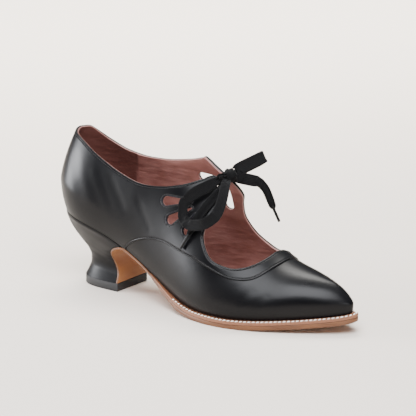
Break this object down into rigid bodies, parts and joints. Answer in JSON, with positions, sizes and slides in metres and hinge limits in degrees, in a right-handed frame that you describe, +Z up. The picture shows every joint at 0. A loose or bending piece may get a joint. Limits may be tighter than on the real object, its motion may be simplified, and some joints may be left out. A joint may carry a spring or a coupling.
{
  "type": "lace-up heeled shoe",
  "caption": "Pointed leather shoe for the right foot on a waisted heel, with an open throat, fans of teardrop cut-outs and a lace tied in a bow.",
  "frame": {"origin": "on the floor under the middle of the heel's top piece", "axes": "+X from heel to toe, +Y toward the inner side of the foot, +Z up"},
  "size_m": [0.2539, 0.0817, 0.1194],
  "materials": {
    "black_leather": "smooth black calf with a soft polish",
    "lining_leather": "matte red-brown lining leather",
    "welt_leather": "tan leather with pale stitching",
    "sole_leather": "tan sole leather, smooth",
    "top_piece_rubber": "dark grey rubber, matte",
    "lace_cotton": "black woven cotton",
    "aglet": "black, slightly glossy"
  },
  "bodies": {
    "root": {"upper": "black_leather", "insole": "lining_leather", "welt": "welt_leather", "outsole": "sole_leather", "heel": "black_leather", "top_piece": "top_piece_rubber", "lace_bar": "lace_cotton", "lace_knot": "lace_cotton", "lace_loop_left": "lace_cotton", "lace_loop_right": "lace_cotton", "lace_end_left": "lace_cotton", "lace_end_right": "lace_cotton", "aglet_left": "aglet", "aglet_right": "aglet"}
  },
  "joints": []
}
